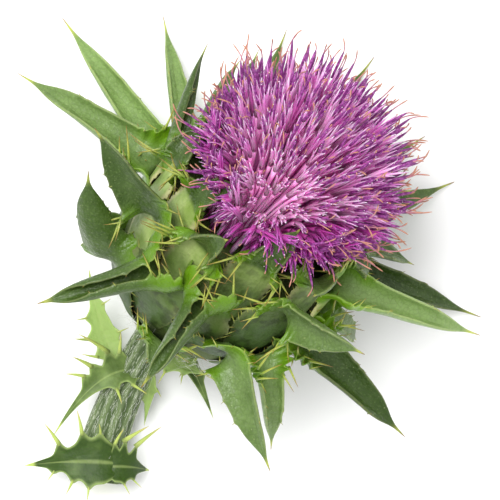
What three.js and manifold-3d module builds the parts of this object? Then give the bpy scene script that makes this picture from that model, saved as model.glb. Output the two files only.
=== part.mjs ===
// A cut milk thistle head on a short length of stem, lying on a surface.
// Millimetres, +Z up. The origin is under the middle of the object, on the surface that it lies on.
// The stem's cut end and the tips of seven outer bracts touch that surface.

import * as THREE from "three";
import { mergeVertices } from "three/addons/utils/BufferGeometryUtils.js";
import Module from "manifold-3d";

const wasm = await Module();
wasm.setup();

// ---- driving dimensions ----
const headCentre = new THREE.Vector3(-5.4, -1.4, 25.5); // middle of the globe of bracts
const headHeading = 49.3; // degrees, where the flower points, counted from +X towards +Y
const headRise = 40; // degrees, how far the flower points up from the surface
const globeRadius = 21.8; // outside of the scales, across the head
const mouthHeight = 23.2; // from the globe's middle to its rim, and as far down to the stem
const mouthRadius = 17; // where the florets come out
const mouthLean = 36; // degrees from the axis to the rim
const scaleThickness = 1.4; // a bract's flat scale, which lies against the globe
const scaleSpan = 27; // degrees of lean that a scale covers
const clearance = 0.3; // kept between pieces that touch
const floretDomeRadius = 25; // outside of the florets, at the mean height of their styles
const floretDomeCentre = 31; // its distance from headCentre, along the axis
const floretFloor = 10; // height on the axis where the florets stand on the receptacle
const bractThickness = 1.7;
const leafThickness = 1.0;

// ---- the head's own directions ----
const heading = THREE.MathUtils.degToRad(headHeading);
const rise = THREE.MathUtils.degToRad(headRise);
const axis = new THREE.Vector3(
  Math.cos(rise) * Math.cos(heading), Math.cos(rise) * Math.sin(heading), Math.sin(rise));
const side = new THREE.Vector3(Math.sin(heading), -Math.cos(heading), 0);
const upper = new THREE.Vector3().crossVectors(side, axis);
const headMatrix = new THREE.Matrix4().makeBasis(upper, side, axis).setPosition(headCentre);

// The outline of the globe at a lean from the axis: half an ellipse below the globe's middle,
// and a slow cosine in to the mouth above it. lift moves the point off the outline, along its normal.
function globeProfile(lean, lift) {
  if (lean >= 90) {
    const theta = THREE.MathUtils.degToRad(lean);
    return {
      radius: (globeRadius + lift) * Math.sin(theta),
      height: (mouthHeight + lift) * Math.cos(theta),
    };
  }
  const climb = (90 - lean) / (90 - mouthLean);
  const radius = mouthRadius + (globeRadius - mouthRadius) * Math.cos((climb * Math.PI) / 2);
  const slope = (((globeRadius - mouthRadius) * Math.PI) / 2) * Math.sin((climb * Math.PI) / 2);
  const length = Math.hypot(mouthHeight, slope);
  return {
    radius: radius + (lift * mouthHeight) / length,
    height: mouthHeight * climb + (lift * slope) / length,
  };
}

// A point on the globe, raised above the outside of the scales by lift.
function globePoint(turn, lean, lift) {
  const phi = THREE.MathUtils.degToRad(turn);
  const { radius, height } = globeProfile(lean, lift);
  return new THREE.Vector3(radius * Math.cos(phi), radius * Math.sin(phi), height).applyMatrix4(headMatrix);
}

// ---- solids ----
function solidOf(positions, faces) {
  const geometry = new THREE.BufferGeometry();
  geometry.setAttribute("position", new THREE.Float32BufferAttribute(positions, 3));
  geometry.setIndex(faces.flat());
  return solidFromGeometry(geometry);
}

function solidFromGeometry(geometry) {
  geometry.deleteAttribute("normal");
  geometry.deleteAttribute("uv");
  const merged = mergeVertices(geometry, 1e-4);
  return new wasm.Manifold(new wasm.Mesh({
    numProp: 3,
    vertProperties: new Float32Array(merged.attributes.position.array),
    triVerts: new Uint32Array(merged.index.array),
  }));
}

// A closed outline turned around the head's axis: x is the radius and y the height.
function latheSolid(profile, sides) {
  const lathe = new THREE.LatheGeometry(profile, sides).rotateX(Math.PI / 2);
  return solidFromGeometry(lathe.applyMatrix4(headMatrix));
}

// A cut can leave crumbs, so only the largest body is kept.
function largestBody(solid) {
  const bodies = solid.decompose();
  return bodies.reduce((best, body) => (body.volume() > best.volume() ? body : best));
}

// Rings of points joined into a closed skin: the first ring is capped and the last one runs to a point.
function loft(rings, tip) {
  const count = rings[0].length;
  const points = rings.flat();
  const faces = [];
  for (let ring = 0; ring + 1 < rings.length; ring++) {
    for (let k = 0; k < count; k++) {
      const next = (k + 1) % count;
      const [a, b] = [ring * count + k, ring * count + next];
      faces.push([a, b, b + count], [a, b + count, a + count]);
    }
  }
  const last = (rings.length - 1) * count;
  for (let k = 0; k < count; k++) {
    faces.push([last + k, last + ((k + 1) % count), points.length]);
  }
  for (let k = 1; k + 1 < count; k++) {
    faces.push([0, k + 1, k]);
  }
  points.push(tip);
  return solidOf(points.flatMap((point) => point.toArray()), faces);
}

// A fleshy channelled blade along a curve: a shallow trough that narrows to a spine.
// face is the direction that the hollow of the trough looks in.
function bladeSolid(curve, face, width, thickness, margin) {
  const rings = [];
  const stations = [0, 0.16, 0.36, 0.6, 0.82, 0.94];
  for (const t of stations) {
    const along = curve.getTangentAt(t);
    const across = new THREE.Vector3().crossVectors(face, along).normalize();
    const up = new THREE.Vector3().crossVectors(along, across);
    const centre = curve.getPointAt(t);
    if (t === 0) centre.addScaledVector(along, -margin);
    const taper = Math.pow(1 - t, 0.75);
    const half = 0.5 * width * (0.62 * taper + 0.38 * Math.pow(taper, 4)) + 0.35 + margin;
    const deep = 0.5 * thickness * (0.35 + 0.65 * taper) + margin;
    const trough = 0.3 * deep + 0.7 * margin;
    const section = [
      [half, 0.9 * deep], [0, trough], [-half, 0.9 * deep], [-0.5 * half, -deep], [0.5 * half, -deep],
    ];
    rings.push(section.map(([x, y]) => centre.clone().addScaledVector(across, x).addScaledVector(up, y)));
  }
  const tip = curve.getPointAt(1).addScaledVector(curve.getTangentAt(1), margin);
  return loft(rings, tip);
}

// Half the turn that a width takes up on the globe at a lean. It stays finite near the stem.
function halfTurnOf(width, lean) {
  const closeness = Math.max(Math.sin(THREE.MathUtils.degToRad(lean)), 0.25);
  return THREE.MathUtils.radToDeg((0.5 * width) / (globeRadius * closeness));
}

// A scale: a curved plate on the globe, from its free upper edge back towards the stem, where it narrows.
function scaleSolid(turn, lean, width, margin) {
  const [across, back] = [2, 2]; // facets each way
  const grown = THREE.MathUtils.radToDeg(margin / globeRadius);
  const layers = [-scaleThickness - margin, margin].map((lift) => {
    const grid = [];
    for (let row = 0; row <= back; row++) {
      const rowLean = lean - grown + ((scaleSpan + 2 * grown) * row) / back;
      const narrow = 1 - 0.3 * (row / back);
      for (let column = 0; column <= across; column++) {
        const rowTurn = turn + halfTurnOf(width + 2 * margin, rowLean) * narrow * ((2 * column) / across - 1);
        grid.push(globePoint(rowTurn, rowLean, lift));
      }
    }
    return grid;
  });
  const columns = across + 1;
  const size = columns * (back + 1);
  const faces = [];
  for (let row = 0; row < back; row++) {
    for (let column = 0; column < across; column++) {
      const a = row * columns + column;
      const [b, c, d] = [a + 1, a + columns + 1, a + columns];
      faces.push([a, b, c], [a, c, d], [a + size, c + size, b + size], [a + size, d + size, c + size]);
    }
  }
  const rim = [];
  for (let column = 0; column < across; column++) rim.push(column);
  for (let row = 0; row < back; row++) rim.push(row * columns + across);
  for (let column = across; column > 0; column--) rim.push(back * columns + column);
  for (let row = back; row > 0; row--) rim.push(row * columns);
  rim.forEach((a, k) => {
    const b = rim[(k + 1) % rim.length];
    faces.push([b, a, a + size], [b, a + size, b + size]);
  });
  const positions = layers.flat().flatMap((point) => point.toArray());
  return solidOf(positions, faces);
}

// ---- bracts ----
// One line for each bract: the turn and lean of the free edge of its scale, where its tip reaches,
// the width of its shoulders, and how far it bows out before it turns to its tip.
// They are listed from the stem to the flower, as each one lies over the foot of the next.
const outerBracts = [
  [-116, 92, [-38, 47, 0], 9.5, 3],
  [-129, 89, [-17.6, 47.4, 0], 8, 2],
  [-154, 84, [7.4, 44.6, 0], 8, 2],
  [-178, 86, [25.2, 39.2, 0], 9, 2],
  [163, 80, [35.4, 23, 0], 9, 2],
  [148, 82, [41.4, 13.8, 0], 10, 2],
  [129, 82, [46.8, -13.6, 0], 10, 2],
  [-97, 82, [-46.8, 35.6, 10.5], 10, 3],
  [-44, 104, [-32, 15.6, 45.5], 11, 6],
  [58, 98, [4.2, -40, 20.5], 8, 4],
  [33, 92, [4, -44, 37.5], 10, 7],
  [76, 87, [31, -37.4, 22.5], 10, 5],
  [97, 84, [21.4, -18.2, 10.5], 8, 4],
  [-73, 112, [-25, 7, 17], 8, 2],
  [4, 118, [-18.6, -24, 34], 7, 2],
  [150, 112, [4, 2, 0.9], 8, 1],
  [-160, 114, [-9, 10, 0.9], 8, 1],
  [112, 116, [6, -21, 3], 8, 2],
  [-100, 122, [-27, 6, 6], 8, 2],
];
const middleBracts = [
  [-20, 82, [-42, -10.6, 50], 11, 6],
  [6, 76, [-21.4, -27, 58.5], 11, 6],
  [97, 66, [46.4, -17.2, 9.5], 9, 5],
  [-44, 67, [-30.6, 24, 53.5], 11, 5],
  [-92, 66, [-8.4, 41.4, 25.5], 8, 3],
  [-138, 72, [1.8, 40.4, 10.5], 8, 3],
  [47, 62, [22.6, -20.6, 55], 10, 5],
  [178, 62, [27, 25, 6.5], 8, 3],
  [153, 60, [33, 12, 7.5], 8, 3],
  [125, 60, [33, -3, 15], 8, 3],
  [-116, 62, [-2, 38, 21], 8, 3],
];
const innerBracts = [
  [-67, 52, [-8.4, 24.4, 41.5], 8, 3],
  [-11, 53, [-4.2, 2, 62], 10, 4],
  [64, 48, [12.4, -9.2, 53.5], 8, 3],
  [20, 44, [10.2, 4.4, 56.5], 8, 3],
  [-38, 45, [-1, 12.4, 52.5], 8, 2],
  [95, 46, [23, -6, 34], 8, 3],
  [125, 45, [24, 5, 20], 8, 3],
  [155, 44, [22, 15, 15], 8, 3],
  [-175, 46, [18, 23, 15], 8, 3],
  [-145, 46, [10, 28, 20], 8, 3],
  [-112, 46, [1, 27, 31], 8, 3],
];

// The blade leaves the globe along its scale, bows outwards and then runs straight to its tip.
function bractSolid([turn, lean, reach, width, bow], margin) {
  const start = globePoint(turn, lean + 3, -0.5 * scaleThickness);
  const out = globePoint(turn, lean, 1).sub(globePoint(turn, lean, 0));
  const forward = globePoint(turn, lean - 3, 0).sub(globePoint(turn, lean, 0)).normalize();
  const tip = new THREE.Vector3(...reach);
  const knee = start.clone().lerp(tip, 0.22).addScaledVector(out, bow).addScaledVector(forward, 1.5);
  const curve = new THREE.QuadraticBezierCurve3(start, knee, tip);
  const face = forward.clone().addScaledVector(out, 0.4);
  const blade = bladeSolid(curve, face, width, bractThickness, margin);
  return scaleSolid(turn, lean, width * 1.25, margin).add(blade);
}

// ---- stem ----
// The stem ends in the fleshy receptacle that carries the bracts and the florets, grown as one piece.
// The stem's path from its cut end: x, y, z and the radius there.
const stemPath = [
  [-30.6, -46.6, 4.7, 4.6],
  [-29.2, -38, 5, 4.4],
  [-25.4, -28, 6.2, 4.0],
  [-21, -20, 8.4, 3.7],
  [-16, -12.8, 12, 4.2],
];
const stemSides = 10;

function stemSolid(margin) {
  const centres = stemPath.map(([x, y, z]) => new THREE.Vector3(x, y, z));
  const rings = centres.map((centre, k) => {
    const before = centres[Math.max(k - 1, 0)];
    const after = centres[Math.min(k + 1, centres.length - 1)];
    const along = after.clone().sub(before).normalize();
    const across = new THREE.Vector3().crossVectors(new THREE.Vector3(0, 0, 1), along).normalize();
    const up = new THREE.Vector3().crossVectors(along, across);
    const radius = stemPath[k][3] + margin;
    return Array.from({ length: stemSides }, (_, n) => {
      const angle = (2 * Math.PI * (n + 0.5)) / stemSides;
      return centre.clone()
        .addScaledVector(across, radius * Math.cos(angle))
        .addScaledVector(up, radius * Math.sin(angle));
    });
  });
  const stemBite = 4; // how far the stem runs into the globe
  return loft(rings, globePoint(0, 180, -stemBite));
}

// The receptacle fills the foot of the globe and ends in a flat floor that the florets stand on.
function receptacleSolid(margin) {
  const inset = scaleThickness + clearance - margin;
  const floorLean = 90 - ((90 - mouthLean) * floretFloor) / mouthHeight;
  const steps = 9;
  const profile = [];
  for (let k = 0; k <= steps; k++) {
    const { radius, height } = globeProfile(180 + ((floorLean - 180) * k) / steps, -inset);
    profile.push(new THREE.Vector2(k === 0 ? 0 : radius, height));
  }
  profile.push(new THREE.Vector2(0, profile[steps].y));
  return latheSolid(profile, 20);
}

// ---- stem leaves ----
// Small spiny leaves: where each leaves the stem, where it bends, where its tip reaches, and its width.
const stemLeaves = [
  [[-27.2, -22, 8], [-31.5, -13, 8], [-32.4, -3.8, 12], 5],
  [[-22.4, -24.4, 9], [-30.5, -22.5, 13], [-40, -38, 9], 5],
  [[-27.4, -43, 8.9], [-35, -42, 13.5], [-45.6, -43.6, 3], 9],
  [[-28.4, -43.7, 9], [-24, -43.4, 10.5], [-20.4, -44.6, 2], 7],
  [[-20, -25, 7], [-20.5, -30, 5], [-21.4, -35.6, 4], 2.5],
  [[-14.5, -18.5, 12], [-10.5, -25, 13], [-7.4, -34, 9], 3.5],
  [[-17.5, -19, 13], [-14, -23, 19], [-9, -25, 18], 7],
];

function leafSolid([root, bend, reach, width], margin) {
  const points = [root, bend, reach].map((point) => new THREE.Vector3(...point));
  const curve = new THREE.QuadraticBezierCurve3(...points);
  return bladeSolid(curve, new THREE.Vector3(0, 0, 1), width, leafThickness, margin);
}

// ---- florets ----
// A ring of florets is one soft tuft that stands on the receptacle and ends on the dome of their styles.
// A ring lies between two radii on the receptacle and two angles on the dome, counted from its top.
const floretRings = [
  ["florets_centre", [0, 5], [0, 26]],
  ["florets_inner", [5, 9.5], [26, 52]],
  ["florets_outer", [9.5, 13.5], [52, 78]],
  ["florets_rim", [13.5, 16.8], [78, 106]],
];

function floretRingSolid(feet, angles) {
  const foot = floretFloor + clearance;
  const gapAngle = (2 * clearance) / floretDomeRadius;
  const isCore = feet[0] === 0;
  const isRim = feet[1] > mouthRadius - 2;
  const from = THREE.MathUtils.degToRad(angles[0]) + (isCore ? 0 : gapAngle);
  const to = THREE.MathUtils.degToRad(angles[1]);
  const inside = isCore ? 0 : feet[0] + clearance;
  const profile = [new THREE.Vector2(inside, foot), new THREE.Vector2(feet[1], foot)];
  if (isRim) {
    profile.push(new THREE.Vector2(mouthRadius - scaleThickness - clearance, mouthHeight + clearance));
  }
  const steps = 4;
  for (let k = steps; k >= 0; k--) {
    const angle = from + ((to - from) * k) / steps;
    const radius = floretDomeRadius * Math.sin(angle);
    profile.push(new THREE.Vector2(radius, floretDomeCentre + floretDomeRadius * Math.cos(angle)));
  }
  if (!isCore) {
    profile.push(profile[0].clone());
  }
  return latheSolid(profile, 20);
}

// ---- the assembly ----
const colours = { bract: "#5f7f43", stem: "#7f8f6c", leaf: "#5c7a45", floret: "#b05fb4" };
const thistle = new THREE.Group();

// A mesh stands at its own root, so its geometry is counted from there.
function addPiece(name, solid, colour, root) {
  const mesh = solid.getMesh();
  const geometry = new THREE.BufferGeometry();
  geometry.setAttribute("position", new THREE.Float32BufferAttribute(mesh.vertProperties, 3));
  geometry.setIndex(new THREE.Uint32BufferAttribute(mesh.triVerts, 1));
  geometry.translate(-root.x, -root.y, -root.z);
  geometry.computeVertexNormals();
  const piece = new THREE.Mesh(geometry, new THREE.MeshStandardMaterial({ color: colour, roughness: 0.6 }));
  piece.name = name;
  piece.position.copy(root);
  thistle.add(piece);
}

function boxesMeet(a, b) {
  return [0, 1, 2].every((k) => a.min[k] < b.max[k] && b.min[k] < a.max[k]);
}

// Cuts a piece where its neighbours lie, each one grown by the clearance.
function clearOf(solid, grownNeighbours) {
  const box = solid.boundingBox();
  const near = grownNeighbours.filter((other) => boxesMeet(box, other.boundingBox()));
  const cut = near.reduce((rest, other) => rest.subtract(other), solid);
  return largestBody(cut);
}

const stem = stemSolid(0).add(receptacleSolid(0));
addPiece("stem_and_receptacle", stem, colours.stem, headCentre);
const grown = [stemSolid(clearance).add(receptacleSolid(clearance))];

const series = [["outer_bract", outerBracts], ["middle_bract", middleBracts], ["inner_bract", innerBracts]];
for (const [seriesName, bracts] of series) {
  bracts.forEach((bract, k) => {
    const name = `${seriesName}_${String(k + 1).padStart(2, "0")}`;
    const root = globePoint(bract[0], bract[1], 0);
    const solid = bractSolid(bract, 0);
    addPiece(name, clearOf(solid, grown), colours.bract, root);
    grown.push(solid.add(bractSolid(bract, clearance)));
  });
}

stemLeaves.forEach((leaf, k) => {
  const root = new THREE.Vector3(...leaf[0]);
  const solid = leafSolid(leaf, 0);
  addPiece(`stem_leaf_${k + 1}`, clearOf(solid, grown), colours.leaf, root);
  grown.push(solid.add(leafSolid(leaf, clearance)));
});

for (const [name, feet, angles] of floretRings) {
  addPiece(name, clearOf(floretRingSolid(feet, angles), grown), colours.floret, headCentre);
}

export default thistle;
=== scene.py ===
from functools import partial

import bpy
import numpy as np
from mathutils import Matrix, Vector


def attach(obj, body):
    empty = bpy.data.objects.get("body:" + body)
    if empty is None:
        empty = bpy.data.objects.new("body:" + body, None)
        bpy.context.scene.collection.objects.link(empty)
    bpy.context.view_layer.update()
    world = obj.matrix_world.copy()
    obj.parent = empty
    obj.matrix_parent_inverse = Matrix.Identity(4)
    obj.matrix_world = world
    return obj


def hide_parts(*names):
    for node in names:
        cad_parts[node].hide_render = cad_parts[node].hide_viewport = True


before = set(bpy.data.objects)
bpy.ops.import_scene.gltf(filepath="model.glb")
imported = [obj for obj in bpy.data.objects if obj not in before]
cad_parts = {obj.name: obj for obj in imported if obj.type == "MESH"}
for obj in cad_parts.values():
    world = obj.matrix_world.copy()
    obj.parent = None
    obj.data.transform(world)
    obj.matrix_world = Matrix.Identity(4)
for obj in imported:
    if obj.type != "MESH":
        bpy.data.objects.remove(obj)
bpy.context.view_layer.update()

mm = 0.001  # pieces are drawn in millimetres and buildPiece turns them to metres; the stage is in metres
press = 0.4 * mm  # what would sink into the surface is pressed into a layer this thick, flat on it

# where the head lies and how it points, as in the frame
head = {
    "centre": np.array([-5.4, -1.4, 25.5]),
    "heading": 49.3,  # degrees from +X towards +Y
    "rise": 40.0,  # degrees up from the surface
    "globeRadius": 21.8,
    "mouthHeight": 23.2,
    "mouthRadius": 17.0,
    "mouthLean": 36.0,
    "domeCentre": 29.7,  # middle of the dome of florets, along the axis
}


def unit(vectors):
    # each vector divided by its own length
    return vectors / np.maximum(np.linalg.norm(vectors, axis=-1, keepdims=True), 1e-9)


headingAngle, riseAngle = np.radians([head["heading"], head["rise"]])
headAxis = np.array([
    np.cos(riseAngle) * np.cos(headingAngle), np.cos(riseAngle) * np.sin(headingAngle), np.sin(riseAngle)])
headSide = np.array([np.sin(headingAngle), -np.cos(headingAngle), 0.0])
headUpper = np.cross(headSide, headAxis)
headBasis = np.array([headUpper, headSide, headAxis])


def fromHead(points):
    # head coordinates (upper, side, along the axis) to the frame
    return head["centre"] + points @ headBasis


def globePoint(turn, lean, lift):
    # a point on the globe: half an ellipse below its middle, a cosine in to the mouth above it,
    # moved by lift along the normal
    turn, lean, lift = np.broadcast_arrays(np.radians(turn), np.asarray(lean, float), np.asarray(lift, float))
    climb = (90 - lean) / (90 - head["mouthLean"])
    slope = (head["globeRadius"] - head["mouthRadius"]) * np.pi / 2 * np.sin(climb * np.pi / 2)
    steep = np.hypot(head["mouthHeight"], slope)
    radiusAbove = head["mouthRadius"] + (head["globeRadius"] - head["mouthRadius"]) * np.cos(climb * np.pi / 2)
    radiusAbove = radiusAbove + lift * head["mouthHeight"] / steep
    heightAbove = head["mouthHeight"] * climb + lift * slope / steep
    radiusBelow = (head["globeRadius"] + lift) * np.sin(np.radians(lean))
    heightBelow = (head["mouthHeight"] + lift) * np.cos(np.radians(lean))
    radius = np.where(lean >= 90, radiusBelow, radiusAbove)
    height = np.where(lean >= 90, heightBelow, heightAbove)
    return fromHead(np.stack([radius * np.cos(turn), radius * np.sin(turn), height], axis=-1))


def ringFaces(rows, columns):
    # quads between neighbouring rings of one closed skin
    row, column = np.meshgrid(np.arange(rows - 1), np.arange(columns), indexing="ij")
    a = row * columns + column
    b = row * columns + (column + 1) % columns
    return np.stack([a, b, b + columns, a + columns], axis=-1).reshape(-1, 4)


def closedSkin(rings):
    # rings (rows, columns, 3) joined to each other, with a pole point at the middle of the first and the last
    rows, columns = rings.shape[:2]
    points = np.concatenate([rings.reshape(-1, 3), rings[:1].mean(axis=1), rings[-1:].mean(axis=1)])
    start = rows * columns
    k = np.arange(columns)
    following = (k + 1) % columns
    first = np.stack([np.full(columns, start), following, k], axis=-1)
    last = (rows - 1) * columns
    final = np.stack([np.full(columns, start + 1), last + k, last + following], axis=-1)
    return points, ringFaces(rows, columns), np.concatenate([first, final])


def isInsideOut(points, quads):
    # the sign of the volume under the quads, seen from the skin's middle
    corner = points[quads] - points.mean(axis=0)
    volume = np.einsum("ij,ij->i", corner[:, 0], np.cross(corner[:, 1], corner[:, 2])).sum()
    volume += np.einsum("ij,ij->i", corner[:, 0], np.cross(corner[:, 2], corner[:, 3])).sum()
    return volume < 0


def makeSkin(rings, attributes, material=0):
    # one closed skin: attributes hold one value for each ring point, and a pole takes its ring's mean;
    # material is its place in the piece's list of materials
    points, quads, triangles = closedSkin(rings)
    if isInsideOut(points, quads):
        quads, triangles = quads[:, ::-1], triangles[:, ::-1]
    values = {}
    for key, grid in attributes.items():
        grid = np.broadcast_to(grid, rings.shape[:2])
        values[key] = np.concatenate([grid.reshape(-1), [grid[0].mean()], [grid[-1].mean()]])
    return {"points": points, "quads": quads, "triangles": triangles, "values": values, "material": material}


def makeTubes(paths, radii, sides, attributes, material=0, flat=1.0, normals=None):
    # many tubes at once: paths (tubes, rows, 3), radii (tubes, rows); each section is a circle round its path,
    # radius (flat cos(a) normal + sin(a) across), so flat thins it along its normal
    tubes, rows = paths.shape[:2]
    tangent = unit(np.gradient(paths, axis=1))
    if normals is None:
        overall = unit(paths[:, -1] - paths[:, 0])
        upright = np.where(np.abs(overall[:, 2:]) > 0.8, [[1.0, 0, 0]], [[0, 0, 1.0]])
        normals = np.cross(overall, upright)
    normal = normals[:, None] - np.einsum("ijk,ik->ij", tangent, normals)[..., None] * tangent
    normal = unit(normal)
    across = np.cross(tangent, normal)
    angle = np.linspace(0, 2 * np.pi, sides, endpoint=False)
    ring = flat * np.cos(angle)[:, None] * normal[:, :, None] + np.sin(angle)[:, None] * across[:, :, None]
    rings = paths[:, :, None] + radii[:, :, None, None] * ring
    points = np.concatenate([rings.reshape(tubes, -1, 3), paths[:, :1], paths[:, -1:]], axis=1)
    size = rows * sides
    k = np.arange(sides)
    following = (k + 1) % sides
    first = np.stack([np.full(sides, size), following, k], axis=-1)
    final = np.stack([np.full(sides, size + 1), size - sides + k, size - sides + following], axis=-1)
    offset = (np.arange(tubes) * (size + 2))[:, None, None]
    quads = (ringFaces(rows, sides)[None] + offset).reshape(-1, 4)
    triangles = (np.concatenate([first, final])[None] + offset).reshape(-1, 3)
    values = {}
    for key, grid in attributes.items():
        grid = np.broadcast_to(grid, (tubes, rows))
        around = np.repeat(grid[:, :, None], sides, axis=2).reshape(tubes, -1)
        values[key] = np.concatenate([around, grid[:, :1], grid[:, -1:]], axis=1).reshape(-1)
    points = points.reshape(-1, 3)
    return {"points": points, "quads": quads, "triangles": triangles, "values": values, "material": material}


def buildPiece(name, parts, materials, nodes):
    # joins the parts into one object at the origin, gives it its materials and hands it to the frame;
    # a height z under press becomes press times e to the power of (z - press) / press
    count = np.cumsum([0] + [len(part["points"]) for part in parts])
    points = np.concatenate([part["points"] for part in parts]) * mm
    low = np.minimum(points[:, 2] - press, 0.0)
    points[:, 2] = np.where(low < 0, press * np.exp(np.maximum(low / press, -8.0)), points[:, 2])
    faces, index = [], []
    for part, offset in zip(parts, count):
        for key in ("quads", "triangles"):
            faces += (part[key] + offset).tolist()
            index += [part["material"]] * len(part[key])
    mesh = bpy.data.meshes.new(name)
    mesh.from_pydata(points.tolist(), [], faces)
    keys = sorted({key for part in parts for key in part["values"]})
    for key in keys:
        values = [part["values"].get(key, np.zeros(len(part["points"]))) for part in parts]
        attribute = mesh.attributes.new(key, "FLOAT", "POINT")
        attribute.data.foreach_set("value", np.concatenate(values).astype(np.float32))
    mesh.polygons.foreach_set("use_smooth", np.ones(len(faces), dtype=bool))
    mesh.polygons.foreach_set("material_index", np.array(index, dtype=np.int32))
    for material in materials:
        mesh.materials.append(material)
    mesh.update()
    piece = bpy.data.objects.new(name, mesh)
    bpy.context.scene.collection.objects.link(piece)
    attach(piece, "root")
    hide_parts(*nodes)


def waves(rng, t, count, strength):
    # a smooth random line: a few sines of growing frequency and random phase
    order = np.arange(1, count + 1)
    phase = rng.uniform(0, 2 * np.pi, count)
    size = rng.normal(0, 1, count) / order
    return strength * (size * np.sin(np.asarray(t)[..., None] * order * np.pi + phase)).sum(axis=-1)


def linear(hexColour):
    # an sRGB hex value to linear red, green, blue and alpha
    value = np.array([int(hexColour[k:k + 2], 16) for k in (1, 3, 5)]) / 255
    value = np.where(value <= 0.04045, value / 12.92, ((value + 0.055) / 1.055) ** 2.4)
    return (*value.tolist(), 1.0)


def fill(node, values):
    # each value goes on the node's input of that name or number: an output is linked, a hex value becomes a colour
    for key, value in values.items():
        socket = node.inputs[key]
        if isinstance(value, bpy.types.NodeSocket):
            node.id_data.links.new(value, socket)
        else:
            socket.default_value = linear(value) if isinstance(value, str) else value


def addNode(tree, kind, *values, output=None, **named):
    # a node: values go on the inputs in use, in their order, a small-lettered name is one of its settings and
    # a capital one is an input; the answer is the output that is asked for, or the first one in use
    node = tree.nodes.new("ShaderNode" + kind)
    for key in filter(str.islower, named):
        setattr(node, key, named[key])
    live = [number for number, socket in enumerate(node.inputs) if socket.enabled]
    fill(node, dict(zip(live, values)))
    fill(node, {key: value for key, value in named.items() if not key.islower()})
    return node.outputs[output] if output else next(socket for socket in node.outputs if socket.enabled)


def startMaterial(name, *attributes):
    # a material: its adder of nodes, its Principled shader, the object's own coordinates and the attributes it reads
    material = bpy.data.materials.new(name)
    material.use_nodes = True
    add = partial(addNode, material.node_tree)
    place = add("TexCoord", output="Object")
    read = [add("Attribute", attribute_name=attribute, output="Fac") for attribute in attributes]
    return material, add, material.node_tree.nodes["Principled BSDF"], place, *read


smooth = {"interpolation_type": "SMOOTHSTEP"}  # 0 below the first value and 1 above the second, smooth between
rgba = {"data_type": "RGBA"}  # two colours mixed by a factor
times, plus, timesPlus = [{"operation": name} for name in ("MULTIPLY", "ADD", "MULTIPLY_ADD")]

bractTone = {
    "scale": "#cce08c", "scaleDeep": "#98b654", "scaleOld": "#3a5a14", "margin": "#e2e09e",
    "shoulder": "#6c9a10", "hollow": "#3a5a24", "stain": "#25360c",
    "blade": "#345204", "bloom": "#84a05c", "net": "#2d4208", "speck": "#bcc98a",
    "spine": "#b8c058", "spineTip": "#946a34", "shaded": "#cacaca", "lit": "#ffffff",
}


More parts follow.
